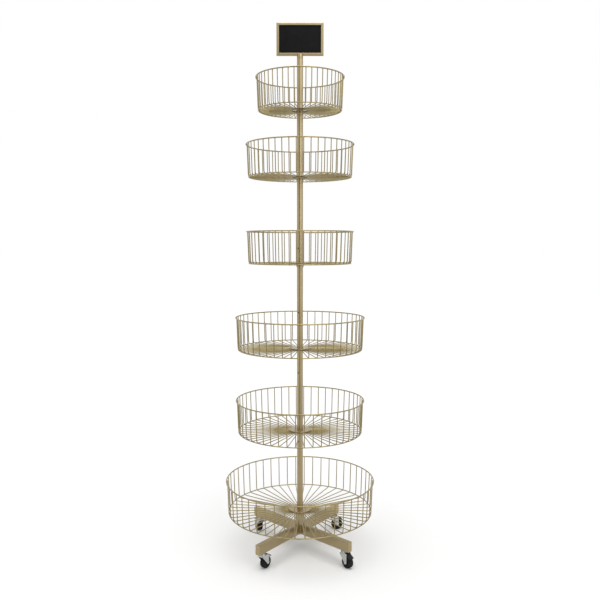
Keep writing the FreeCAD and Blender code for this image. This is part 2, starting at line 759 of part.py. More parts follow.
for item in doc.Objects:
    if "Invalid" in item.State or "Error" in item.State:
        raise RuntimeError(f"{item.Label} failed: {item.State}")
for piece in nodes:
    if piece.Shape.isNull() or not piece.Shape.isValid() or not piece.Shape.Solids:
        raise RuntimeError(f"{piece.Label} has no valid shape")

os.makedirs("parts", exist_ok=True)
for piece in nodes:
    piece.Shape.exportStep(f"parts/{piece.Label}.step")
print(f"{len(nodes)} nodes written")
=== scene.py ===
import json
import math

import bmesh
import bpy
from mathutils import Matrix, Vector


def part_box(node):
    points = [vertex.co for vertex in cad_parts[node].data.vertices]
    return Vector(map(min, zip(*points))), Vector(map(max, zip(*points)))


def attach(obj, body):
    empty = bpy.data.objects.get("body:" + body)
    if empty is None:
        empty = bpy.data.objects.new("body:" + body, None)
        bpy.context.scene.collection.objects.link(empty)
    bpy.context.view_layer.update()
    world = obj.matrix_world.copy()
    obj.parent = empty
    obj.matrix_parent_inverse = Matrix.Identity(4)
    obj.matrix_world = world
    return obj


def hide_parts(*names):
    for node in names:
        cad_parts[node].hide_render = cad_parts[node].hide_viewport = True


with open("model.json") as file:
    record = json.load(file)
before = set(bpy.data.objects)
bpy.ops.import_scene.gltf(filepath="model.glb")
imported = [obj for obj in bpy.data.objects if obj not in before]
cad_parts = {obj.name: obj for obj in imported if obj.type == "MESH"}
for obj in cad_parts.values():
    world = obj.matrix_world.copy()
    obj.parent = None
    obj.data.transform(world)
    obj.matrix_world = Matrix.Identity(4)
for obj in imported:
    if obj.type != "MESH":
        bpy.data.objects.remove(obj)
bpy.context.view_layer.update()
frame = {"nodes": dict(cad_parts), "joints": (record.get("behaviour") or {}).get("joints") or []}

# Wire basket stand. Lengths in metres, +Z up, +X right and +Y back, with the pole on the Z axis.
MM = 0.001
JOINTS = {joint["name"]: joint for joint in frame["joints"]}

# Sizes of the pieces that the boxes of the CAD nodes don't give.
# Wires, sleeves, holes, screws and beads give their radius.
WIRE = 1.5 * MM
WIRE_BEND = 10 * MM
BEND_STEPS = 7
WIRE_COUNT = 48
WALL_TAPER = 3.5 * MM
WELD_SINK = 0.3 * MM
SPOT_WELD = (1.1 * MM, 1.9 * MM, 1.3 * MM)
SPOT_SINK = 0.15 * MM
RING_SEAM = math.radians(115)
BUTT_WELD = 1.2 * MM
BUTT_SWELL = 1.06
SPOKE_START = WIRE_COUNT * (2 * WIRE + 0.55 * MM) / math.tau
BASKET_TURNS = {1: 0, 2: 3.75, 3: 3.75, 4: 0, 5: 3.75, 6: 3.75}
POLE_WALL = 1.5 * MM
POLE_HOLE = 2.5 * MM
POLE_HOLE_HEIGHTS = (1030 * MM, 816 * MM, 612 * MM, 376 * MM)
ARM_WIDTH = 18 * MM
ARM_CORNER = 2.2 * MM
ARM_REACH = 222 * MM
ARM_HEADINGS = {"front_left": 232.5, "front_right": 316.5, "back_left": 136.5, "back_right": 52.5}
END_PLATE = 1.5 * MM
SIDE_BEAD = 1.8 * MM
TOP_BEAD = 1.5 * MM
RIPPLE = 1.1 * MM
SLEEVE = 11.68 * MM
SLEEVE_BORE = 10.08 * MM
THRUST_GAP = 0.2 * MM
GRUB_SCREW = 1.5 * MM
GRUB_SUNK = 0.2 * MM
FIT = 0.05 * MM

# Casters, in millimetres: along the fork from its swivel, across it from its middle, and up from the floor.
# Outlines give pairs, with a corner's radius as a third number. Halves are mirrored across the wheel.
TRAIL = 15
WHEEL_RADIUS = 20
HINGE_HEIGHT = 45.5
FORK_SIDE, FORK_INSIDE = 11.6, 9.6
FORK_HOLLOW = [(-22, -1), (35, -1), (35, 55), (10.5, 55), (10.5, 43), (-22, 43)]
CUP = [(4.08, 45), (11, 45), (11, 48.9, 0.9), (9.7, 49.3, 0.3), (9.7, 49.9, 0.3), (10.7, 50.2, 0.3),
       (10.7, 52.1, 0.9), (4.08, 52.1)]
AXLE_HALF = [(3, FORK_SIDE), (4.75, FORK_SIDE, 0.2), (4.75, 12.3, 0.4), (3.3, 13.1, 0.9), (0, 13.1)]
TYRE_HALF = [(WHEEL_RADIUS, 4), (19.8, 6.4, 2.2), (17, 8.5, 1.6), (14.05, 8.5, 0.4)]
CORE_HALF = [(14, 8.5, 0.3), (11.45, 8.5, 0.5), (11.45, 4, 0.8), (6.5, 4, 0.8), (6.5, 9, 0.5), (3.08, 9, 0.3)]
TONGUE_TIP = [(18.6, 43.36), (20.5, 43.15), (35.6, 40.85), (36.8, 41.5), (37, 42.5), (36.5, 43.4),
              (35.4, 43.85)]
TONGUE_SIDE = 9.2
TONGUE_TOP, TONGUE_FALL = 46.95, 0.1545
RIDGES = (27.5, 30.5, 33.5)
RIDGE, RIDGE_SIDE = 0.7, 7.5
PEDAL_PIN = 1.8
PEDAL_PRESS = math.radians(19)

# Light: an even sky, wide suns as azimuth, elevation, strength and width, a floor that comes out just white,
# and a dim card that shows in the metal
SKY = 0.3
SUNS = {"top": (-20, 84, 2.2, 45), "key": (34, 24, 0.85, 55)}
SUN_ON_FLOOR = sum(power * math.sin(math.radians(up)) for _, up, power, _ in SUNS.values()) / math.pi
FLOOR_SIDE = 12
FLOOR_PAINT = 0.85
FLOOR_GLOW = 1.04 - FLOOR_PAINT * (SKY + SUN_ON_FLOOR)
CARD = [(-0.34, -0.83, 0), (0.06, -0.9, 0), (0.06, -0.9, 1.85), (-0.34, -0.83, 1.85)]
CARD_SHADE = 0.05

# The photo's camera: its place, its tilt below level in degrees, and its lens and sensor in millimetres
CAMERA_PLACE = (0, -2.2934, 1.043)
CAMERA_TILT = 4.63
CAMERA_LENS, CAMERA_SENSOR = 41.22, 36


class Shape:
    """Points and faces of one piece."""

    def __init__(self):
        self.points = []
        self.faces = []

    def loft(self, rings, closed=False, caps=True):
        """Skin rings with the same number of points, in a loop or with flat ends."""
        first, count = len(self.points), len(rings[0])
        for ring in rings:
            self.points.extend(Vector(point) for point in ring)
        spans = len(rings) if closed else len(rings) - 1
        for i in range(spans):
            here, there = first + i * count, first + (i + 1) % len(rings) * count
            for j in range(count):
                k = (j + 1) % count
                self.faces.append((here + j, here + k, there + k, there + j))
        if caps and not closed:
            last = first + (len(rings) - 1) * count
            self.faces.append(tuple(range(first, first + count)))
            self.faces.append(tuple(range(last, last + count)))

    def lathe(self, outline, sides=48, place=Matrix()):
        """Turn a closed outline of radius and height pairs about the Z axis of place."""
        rings = []
        for i in range(sides):
            turn = math.tau * i / sides
            rings.append([place @ Vector((r * math.cos(turn), r * math.sin(turn), z)) for r, z in outline])
        self.loft(rings, closed=True)

    def tube(self, path, radius, sides=12, closed=False):
        """A round wire along points that lie in one plane, with rounded ends unless it is closed."""
        rings = []
        normal = plane_normal(path)
        for i, point in enumerate(path):
            before = path[i - 1] if closed or i else point
            after = path[(i + 1) % len(path)] if closed or i < len(path) - 1 else point
            along = (after - before).normalized()
            rings.append(wire_ring(point, along, normal, radius, sides))
        if not closed:
            first = (path[0] - path[1]).normalized()
            last = (path[-1] - path[-2]).normalized()
            for share, size in ((0.25, 0.93), (0.4, 0.7)):
                lift = share * radius
                rings.insert(0, wire_ring(path[0] + first * lift, -first, normal, radius * size, sides))
                rings.append(wire_ring(path[-1] + last * lift, last, normal, radius * size, sides))
        self.loft(rings, closed=closed)

    def prism(self, outline, low, high, edge, place=Matrix(), steps=3):
        """Push a rounded outline of x and z pairs along Y, with rounded edges at both ends."""
        rings = []
        for i in range(steps + 1):
            turn = math.pi / 2 * i / steps
            rings.append((low + edge * (1 - math.sin(turn)), edge * (1 - math.cos(turn))))
        rings.sort()
        rings += [(low + high - y, d) for y, d in reversed(rings)]
        self.loft([[place @ Vector((x, y, z)) for x, z in inset(outline, d)] for y, d in rings])

    def blob(self, centre, size, place=Matrix(), sides=8, rows=4):
        """A small rounded lump, such as a spot weld."""
        rings = []
        for i in range(rows + 1):
            lift = math.pi * (0.04 + 0.92 * i / rows)
            across, up = math.sin(lift), -math.cos(lift)
            rings.append([place @ (centre + Vector((size[0] * across * math.cos(math.tau * j / sides),
                                                    size[1] * across * math.sin(math.tau * j / sides),
                                                    size[2] * up))) for j in range(sides)])
        self.loft(rings)

    def mesh(self, name):
        """A tidy mesh, with doubled points merged and its faces turned outwards."""
        made = bpy.data.meshes.new(name)
        work = bmesh.new()
        points = [work.verts.new(point) for point in self.points]
        for face in self.faces:
            work.faces.new([points[i] for i in face])
        bmesh.ops.remove_doubles(work, verts=work.verts, dist=1e-6)
        bmesh.ops.recalc_face_normals(work, faces=work.faces)
        work.to_mesh(made)
        work.free()
        return made


def plane_normal(path):
    """The normal of the plane that a path lies in."""
    for i in range(len(path) - 2):
        normal = (path[i + 1] - path[i]).cross(path[i + 2] - path[i + 1])
        if normal.length > 1e-9:
            return normal.normalized()
    return (path[1] - path[0]).orthogonal().normalized()


def wire_ring(centre, along, normal, radius, sides):
    """The points of a wire's section."""
    across = along.cross(normal).normalized()
    turns = [math.tau * (i + 0.5) / sides for i in range(sides)]
    return [centre + radius * (math.cos(t) * normal + math.sin(t) * across) for t in turns]


def soften(corners, radius, steps=4):
    """An outline with its corners rounded. A corner can give its own radius as a third number."""
    outline = []
    for i, corner in enumerate(corners):
        here = Vector(corner[:2])
        size = corner[2] if len(corner) > 2 else radius
        before = Vector(corners[i - 1][:2]) - here
        after = Vector(corners[(i + 1) % len(corners)][:2]) - here
        angle = before.angle(after)
        if size <= 0 or angle > math.pi - 0.01:
            outline.append(tuple(here))
            continue
        back = min(size / math.tan(angle / 2), before.length * 0.49, after.length * 0.49)
        start, end = here + before.normalized() * back, here + after.normalized() * back
        for j in range(steps + 1):
            share = j / steps
            blended = start.lerp(here, share).lerp(here.lerp(end, share), share)
            outline.append(tuple(blended))
    return outline


def inset(outline, distance):
    """An outline moved inwards by a small distance."""
    area = sum(a[0] * b[1] - b[0] * a[1] for a, b in zip(outline, outline[1:] + outline[:1]))
    side = 1 if area > 0 else -1
    moved = []
    for i, (x, y) in enumerate(outline):
        before = (Vector((x, y)) - Vector(outline[i - 1])).normalized()
        after = (Vector(outline[(i + 1) % len(outline)]) - Vector((x, y))).normalized()
        along = (before + after).normalized()
        inward = Vector((-along.y, along.x)) * side
        lean = max(0.5, before.dot(along))
        moved.append((x + inward.x * distance / lean, y + inward.y * distance / lean))
    return moved


def arc(x, y, radius, start, end, steps=10):
    """Points on a circle between two angles in degrees."""
    turns = [math.radians(start + (end - start) * i / steps) for i in range(steps + 1)]
    return [(x + radius * math.cos(t), y + radius * math.sin(t)) for t in turns]


def rectangle(width, height, radius, bottom=0.0):
    """A rounded rectangle about the vertical axis, standing on bottom."""
    side, top = width / 2, bottom + height
    return soften([(-side, bottom), (side, bottom), (side, top), (-side, top)], radius)


def piece(shape, name, material, body, nodes=(), sharp=38):
    """Make a shape a piece of the object that rides on a body and stands for CAD nodes."""
    mesh = shape.mesh(name) if isinstance(shape, Shape) else shape
    mesh.shade_smooth()
    mesh.set_sharp_from_angle(angle=math.radians(sharp))
    made = bpy.data.objects.new(name, mesh)
    bpy.context.scene.collection.objects.link(made)
    mesh.materials.clear()
    mesh.materials.append(material)
    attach(made, body)
    if nodes:
        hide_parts(*nodes)
    return made


def carved(shape, cutter, name):
    """The mesh of a shape with another shape cut out of it."""
    base = bpy.data.objects.new(name, shape.mesh(name))
    tool = bpy.data.objects.new(name + "_tool", cutter.mesh(name + "_tool"))
    for thing in (base, tool):
        bpy.context.scene.collection.objects.link(thing)
    cut = base.modifiers.new("Cut", "BOOLEAN")
    cut.object = tool
    cut.solver = "EXACT"
    bpy.context.view_layer.update()
    mesh = bpy.data.meshes.new_from_object(base.evaluated_get(bpy.context.evaluated_depsgraph_get()))
    for thing in (base, tool):
        bpy.data.objects.remove(thing)
    mesh.name = name
    return mesh


def new_material(name):
    """A node material with its output and a Principled shader, and its nodes and links."""
    material = bpy.data.materials.new(name)
    material.use_nodes = True
    return material, material.node_tree.nodes, material.node_tree.links


def noise(nodes, links, scale, detail, source):
    """A noise texture in the object's own space."""
    texture = nodes.new("ShaderNodeTexNoise")
    texture.inputs["Scale"].default_value = scale
    texture.inputs["Detail"].default_value = detail
    links.new(source.outputs["Object"], texture.inputs["Vector"])
    return texture


def ramp(nodes, links, factor, stops):
    """A colour ramp between two stops of position and colour."""
    made = nodes.new("ShaderNodeValToRGB")
    for element, (position, colour) in zip(made.color_ramp.elements, stops):
        element.position, element.color = position, (*colour, 1)
    links.new(factor, made.inputs["Fac"])
    return made


def finish_material(name, dark, light, metallic, roughness, mottle, grain, bump, specular=0.5):
    """A surface with a slow drift of colour and gloss and a fine bumpy grain."""
    material, nodes, links = new_material(name)
    shader = nodes["Principled BSDF"]
    space = nodes.new("ShaderNodeTexCoord")
    drift = noise(nodes, links, mottle, 3, space)
    colour = ramp(nodes, links, drift.outputs["Fac"], [(0.3, dark), (0.7, light)])
    links.new(colour.outputs["Color"], shader.inputs["Base Color"])
    gloss = nodes.new("ShaderNodeMapRange")
    gloss.inputs["To Min"].default_value = roughness[0]
    gloss.inputs["To Max"].default_value = roughness[1]
    links.new(drift.outputs["Fac"], gloss.inputs["Value"])
    links.new(gloss.outputs["Result"], shader.inputs["Roughness"])
    fine = noise(nodes, links, grain, 2, space)
    relief = nodes.new("ShaderNodeBump")
    relief.inputs["Strength"].default_value = bump
    relief.inputs["Distance"].default_value = 0.2 * MM
    links.new(fine.outputs["Fac"], relief.inputs["Height"])
    links.new(relief.outputs["Normal"], shader.inputs["Normal"])
    shader.inputs["Metallic"].default_value = metallic
    shader.inputs["Specular IOR Level"].default_value = specular
    return material


GOLD = finish_material(
    "gold_coat", (0.356, 0.284, 0.158), (0.392, 0.315, 0.182), metallic=0.85, roughness=(0.26, 0.34),
    mottle=14, grain=1500, bump=0.1, specular=0.3)
# Painted shade: the wires and rings have the same gold coat as the tubes, and this darker copy of it stands
# in for how much darker the thin wires look in the light.
SHADED_WIRE_GOLD = finish_material(
    "gold_wire_painted_shade", (0.288, 0.234, 0.112), (0.32, 0.262, 0.13), metallic=0.85, roughness=(0.26, 0.34),
    mottle=14, grain=1500, bump=0.1, specular=0.3)
ZINC = finish_material(
    "zinc_plate", (0.44, 0.45, 0.46), (0.56, 0.56, 0.555), metallic=1.0, roughness=(0.14, 0.28),
    mottle=90, grain=900, bump=0.1)
BOARD = finish_material(
    "black_panel", (0.005, 0.005, 0.0055), (0.009, 0.009, 0.009), metallic=0, roughness=(0.6, 0.75),
    mottle=30, grain=700, bump=0.2, specular=0.12)
RUBBER = finish_material(
    "black_rubber", (0.008, 0.008, 0.009), (0.015, 0.015, 0.015), metallic=0, roughness=(0.55, 0.75),
    mottle=120, grain=800, bump=0.3, specular=0.15)
PLASTIC = finish_material(
    "black_plastic", (0.01, 0.01, 0.011), (0.017, 0.017, 0.018), metallic=0, roughness=(0.38, 0.5),
    mottle=80, grain=1100, bump=0.2, specular=0.2)


def wire_path(start, foot, top, depth):
    """The line of one wire: along the floor, round its bend and up the wall."""
    centre = Vector((foot - WIRE_BEND, WIRE_BEND))
    reach = Vector((top, depth)) - centre
    leave = math.atan2(reach.y, reach.x) - math.acos(WIRE_BEND / reach.length)
    points = [Vector((start, 0)), Vector((start + (centre.x - start) * 0.5, 0)), Vector((centre.x, 0))]
    for i in range(1, BEND_STEPS + 1):
        turn = -math.pi / 2 + (leave + math.pi / 2) * i / BEND_STEPS
        points.append(centre + WIRE_BEND * Vector((math.cos(turn), math.sin(turn))))
    points += [points[-1].lerp(Vector((top, depth)), 0.5), Vector((top, depth))]
    return [Vector((point.x, 0, point.y)) for point in points]


def ring_path(radius, height, steps=192):
    """A level circle."""
    turns = [math.tau * i / steps for i in range(steps)]
    return [Vector((radius * math.cos(t), radius * math.sin(t), height)) for t in turns]


def basket(index):
    """The wires, rings, spot welds and hub of one basket."""
    names = {part: f"basket_{index}_{part}" for part in ("wires", "rim_ring", "floor_ring", "hub")}
    body = f"basket_{index}"
    rim_low, rim_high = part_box(names["rim_ring"])
    ring_low, ring_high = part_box(names["floor_ring"])
    hub_low, hub_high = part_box(names["hub"])
    rim_wire, ring_wire = (rim_high.z - rim_low.z) / 2, (ring_high.z - ring_low.z) / 2
    rim_height, ring_height = (rim_high.z + rim_low.z) / 2, (ring_high.z + ring_low.z) / 2
    around = (WIRE_BEND + WIRE + ring_wire - WELD_SINK) * math.sqrt(0.5)
    floor = ring_height + around - WIRE_BEND
    rim_radius = (rim_high.x - rim_low.x) / 2 - rim_wire
    top = rim_radius - rim_wire - WIRE + WELD_SINK
    foot = top - WALL_TAPER
    ring_radius = foot - WIRE_BEND + around

    wires = Shape()
    weld = (WIRE_BEND + WIRE) * math.sqrt(0.5) - WIRE_BEND
    line = wire_path(SPOKE_START, foot, top, rim_height - floor)
    for i in range(WIRE_COUNT):
        turn = math.radians(BASKET_TURNS[index]) + math.tau * i / WIRE_COUNT
        place = Matrix.Translation((0, 0, floor)) @ Matrix.Rotation(turn, 4, "Z")
        wires.tube([place @ point for point in line], WIRE)
        for radius, height in ((top + WIRE - SPOT_SINK, rim_height - floor), (foot + weld, -weld)):
            wires.blob(Vector((radius, 0, height)), SPOT_WELD, place)
    piece(wires, names["wires"] + "_bent", SHADED_WIRE_GOLD, body, [names["wires"]], 60)

    for part, radius, height, wire in (("rim_ring", rim_radius, rim_height, rim_wire),
                                       ("floor_ring", ring_radius, ring_height, ring_wire)):
        ring = Shape()
        ring.tube(ring_path(radius, height), wire, 14, closed=True)
        seam = Matrix.Rotation(RING_SEAM, 4, "Z")
        ring.blob(Vector((radius, 0, height)), (wire * BUTT_SWELL, BUTT_WELD, wire * BUTT_SWELL), seam, 12, 6)
        piece(ring, names[part] + "_welded", SHADED_WIRE_GOLD, body, [names[part]], 60)

    plate = (hub_high.x - hub_low.x) / 2
    under = floor + WIRE - WELD_SINK
    hub = Shape()
    hub.lathe(soften([(SLEEVE_BORE, hub_low.z, 0.3 * MM), (SLEEVE, hub_low.z, 0.6 * MM),
                      (SLEEVE, under, 1.2 * MM), (plate, under, 0.8 * MM), (plate, hub_high.z, 1.1 * MM),
                      (SLEEVE_BORE, hub_high.z, 0.4 * MM)], 0), 96)
    piece(hub, names["hub"] + "_turned", GOLD, body, [names["hub"]])


def pole():
    """The drilled pole, the socket at its foot, the stop collars and their grub screws."""
    low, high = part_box("pole")
    radius = (high.x - low.x) / 2
    tube, drills = Shape(), Shape()
    tube.lathe(soften([(radius - POLE_WALL, low.z), (radius, low.z), (radius, high.z),
                       (radius - POLE_WALL, high.z)], 0.3 * MM), 96)
    heading = Matrix.Rotation(math.radians(ARM_HEADINGS["back_right"]), 4, "Z")
    for height in POLE_HOLE_HEIGHTS:
        place = Matrix.Translation((0, 0, height)) @ heading @ Matrix.Rotation(math.pi / 2, 4, "Y")
        drill = [(0, -2 * radius), (POLE_HOLE, -2 * radius), (POLE_HOLE, 2 * radius), (0, 2 * radius)]
        drills.lathe(drill, 32, place)
    piece(carved(tube, drills, "pole_drilled"), "pole_drilled", GOLD, "stand", ["pole"])

    rings = {"base_socket": [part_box("base_socket")], "stop_collars": []}
    low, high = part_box("stop_collars")
    seats = [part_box(f"basket_{index}_hub")[0].z - THRUST_GAP for index in range(1, 6)]
    collar = min(seats) - low.z
    for seat in seats:
        rings["stop_collars"].append((Vector((low.x, low.y, seat - collar)), Vector((high.x, high.y, seat))))
    screws = Shape()
    for node, boxes in rings.items():
        blanks, drills = Shape(), Shape()
        for low, high in boxes:
            outer, middle = (high.x - low.x) / 2, (low.z + high.z) / 2
            blanks.lathe(soften([(radius + FIT, low.z, 0.4 * MM), (outer, low.z, 0.6 * MM),
                                 (outer, high.z, 0.6 * MM), (radius + FIT, high.z, 0.4 * MM)], 0), 72)
            back = Matrix.Translation((0, 0, middle)) @ Matrix.Rotation(-math.pi / 2, 4, "X")
            drill = [(0, radius), (GRUB_SCREW + FIT, radius), (GRUB_SCREW + FIT, 2 * outer), (0, 2 * outer)]
            drills.lathe(drill, 32, back)
            grub_screw(screws, back, radius, outer - GRUB_SUNK)
        name = node + "_drilled"
        piece(carved(blanks, drills, name), name, GOLD, "stand", [node])
    piece(screws, "grub_screws_socketed", ZINC, "stand", ["grub_screws"], 25)


def grub_screw(shape, place, inner, outer):
    """A headless screw with a hexagon socket in its outer end."""
    sides, key, deep = 24, 0.75 * MM, 1 * MM
    tip, tip_length, chamfer = GRUB_SCREW * 0.7, 0.4 * MM, 0.3 * MM
    levels = [(tip, inner), (GRUB_SCREW, inner + tip_length), (GRUB_SCREW, outer - chamfer),
              (GRUB_SCREW - chamfer, outer)]
    rings = []
    for size, height in levels:
        rings.append([(size * math.cos(math.tau * i / sides), size * math.sin(math.tau * i / sides), height)
                      for i in range(sides)])
    for height in (outer, outer - deep):
        ring = []
        for i in range(sides):
            turn = math.tau * i / sides
            size = key / math.cos((turn % (math.pi / 3)) - math.pi / 6)
            ring.append((size * math.cos(turn), size * math.sin(turn), height))
        rings.append(ring)
    shape.loft([[place @ Vector(point) for point in ring] for ring in rings])


def rippled(radius, step):
    """A weld bead's radius at one of its steps."""
    return radius * (0.9 + 0.1 * math.sin(step * 2.1))


def bead(shape, points, radius):
    """A rippled weld bead along a line."""
    rings = []
    along = (points[1] - points[0]).normalized()
    normal = along.orthogonal().normalized()
    length = (points[1] - points[0]).length
    steps = max(8, int(length / RIPPLE))
    for i in range(steps + 1):
        size = rippled(radius, i) * (0.55 if i in (0, steps) else 1)
        rings.append(wire_ring(points[0].lerp(points[1], i / steps), along, normal, size, 8))
    shape.loft(rings)


def base():
    """The welded cross of rectangular tubes, its end plates and its weld beads."""
    low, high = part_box("base_long_bar")
    height, end = high.z - low.z, ARM_REACH - END_PLATE
    section = rectangle(ARM_WIDTH, height, ARM_CORNER, low.z)
    long_heading = math.radians(ARM_HEADINGS["back_right"])
    long_side = Vector((-math.sin(long_heading), math.cos(long_heading), 0))

    def turned(heading):
        return Matrix.Rotation(math.radians(heading), 4, "Z")

    long_bar = Shape()
    place = turned(ARM_HEADINGS["back_right"])
    long_bar.loft([[place @ Vector((x, y, z)) for y, z in section] for x in (-end, end)])
    piece(long_bar, "base_long_bar_tube", GOLD, "stand", ["base_long_bar"], 50)

    beads = Shape()
    for side, arm in (("right", "front_right"), ("left", "back_left")):
        place = turned(ARM_HEADINGS[arm])
        along = place @ Vector((1, 0, 0))
        face = math.copysign(ARM_WIDTH / 2, along.dot(long_side))
        root = []
        for y, z in section:
            point = place @ Vector((0, y, z))
            root.append(point + along * (face - point.dot(long_side)) / along.dot(long_side))
        half_bar = Shape()
        half_bar.loft([root, [place @ Vector((end, y, z)) for y, z in section]])
        node = f"base_half_bar_{side}"
        piece(half_bar, node + "_tube", GOLD, "stand", [node], 50)
        back = place.inverted()
        edges = [pick(root, key=lambda point: (back @ point).y) for pick in (min, max)]
        for point in edges:
            heights = (low.z + 1 * MM, high.z - 1 * MM)
            bead(beads, [Vector((point.x, point.y, z)) for z in heights], SIDE_BEAD)
        bead(beads, [Vector((point.x, point.y, high.z - 0.6 * MM)) for point in edges], TOP_BEAD)

    plates = Shape()
    for heading in ARM_HEADINGS.values():
        place = turned(heading) @ Matrix.Rotation(math.pi / 2, 4, "Z")
        plates.prism(section, -ARM_REACH, -end, 0.45 * MM, place)
    piece(plates, "arm_end_caps_plates", GOLD, "stand", ["arm_end_caps"], 50)

    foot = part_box("base_socket")
    radius = (foot[1].x - foot[0].x) / 2
    ring, steps = [], 120
    for i in range(steps):
        turn = math.tau * i / steps
        size = rippled(TOP_BEAD, i)
        centre = Vector((radius * math.cos(turn), radius * math.sin(turn), foot[0].z + 0.3 * MM))
        along = Vector((-math.sin(turn), math.cos(turn), 0))
        ring.append(wire_ring(centre, along, Vector((0, 0, 1)), size, 8))
    beads.loft(ring, closed=True)
    piece(beads, "base_weld_beads", GOLD, "stand", (), 60)


def sign():
    """The mitred sign frame, its board and the slotted holder."""
    low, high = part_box("sign_frame")
    panel_low, panel_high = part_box("sign_panel")
    width, height, depth = high.x - low.x, high.z - low.z, high.y - low.y
    rail, chamfer, groove = 8.3 * MM, 2.5 * MM, 4 * MM
    slit = (panel_high.y - panel_low.y) / 2 + 0.2 * MM
    front, back = -depth / 2, depth / 2
    grooved = [(chamfer, front), (rail, front), (rail, -slit), (rail - groove, -slit), (rail - groove, slit),
               (rail, slit), (rail, back), (0, back), (0, front + chamfer)]
    front_strip = [(chamfer, front), (rail, front), (rail, -slit), (0, -slit), (0, front + chamfer)]
    back_strip = [(0, slit), (rail, slit), (rail, back), (0, back)]
    middle = Vector((0, 0, (low.z + high.z) / 2))
    shape = Shape()
    mitre = 0.06 * MM
    for turn, length, across, profiles in ((0, width, height, [grooved]), (90, height, width, [grooved]),
                                           (180, width, height, [front_strip, back_strip]),
                                           (270, height, width, [grooved])):
        place = Matrix.Translation(middle) @ Matrix.Rotation(math.radians(-turn), 4, "Y")
        for profile in profiles:
            rings = []
            for side in (-1, 1):
                ends = [(side * (length / 2 - u - mitre), y, u - across / 2) for u, y in profile]
                rings.append([place @ Vector(point) for point in ends])
            shape.loft(rings)
    frame_piece = piece(shape, "sign_frame_mitred", GOLD, "stand", ["sign_frame"], 30)
    edge = frame_piece.modifiers.new("Edge", "BEVEL")
    edge.width = 0.35 * MM
    edge.segments = 2
    edge.limit_method = "ANGLE"
    edge.angle_limit = math.radians(30)

    board = Shape()
    outline = soften([(panel_low.x, panel_low.z), (panel_high.x, panel_low.z), (panel_high.x, panel_high.z),
                      (panel_low.x, panel_high.z)], 1.5 * MM)
    board.prism(outline, panel_low.y, panel_high.y, 0.4 * MM)
    piece(board, "sign_panel_board", BOARD, "stand", ["sign_panel"])

    bottom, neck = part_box("pole")[1].z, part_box("sign_holder")[1].z
    spigot, head, foot, wide, reach = 8.45 * MM, 10 * MM, bottom - 25 * MM, 4.55 * MM, 20 * MM
    holder, gap = Shape(), Shape()
    holder.lathe(soften([(0, foot), (spigot, foot, 0.5 * MM), (spigot, bottom), (head, bottom, 0.35 * MM),
                         (head, neck, 0.9 * MM), (0, neck)], 0), 96)
    gap.loft([[Vector((x, y, z)) for y, z in ((-wide, low.z), (wide, low.z), (wide, high.z), (-wide, high.z))]
              for x in (-reach, reach)])
    piece(carved(holder, gap, "sign_holder_slotted"), "sign_holder_slotted", GOLD, "stand",
          ["sign_holder"])


def carried(name, material, sharp=32):
    """A CAD node that stays as it is and gets a finish."""
    node = frame["nodes"][name]
    node.data.materials.clear()
    node.data.materials.append(material)
    node.data.shade_smooth()
    node.data.set_sharp_from_angle(angle=math.radians(sharp))


def millimetres(outline):
    """An outline given in millimetres, with any corner radii."""
    return [tuple(value * MM for value in corner) for corner in outline]


def mirrored(half):
    """A whole outline in metres from its upper half in millimetres."""
    return millimetres(half + [(corner[0], -corner[1], *corner[2:]) for corner in reversed(half)])


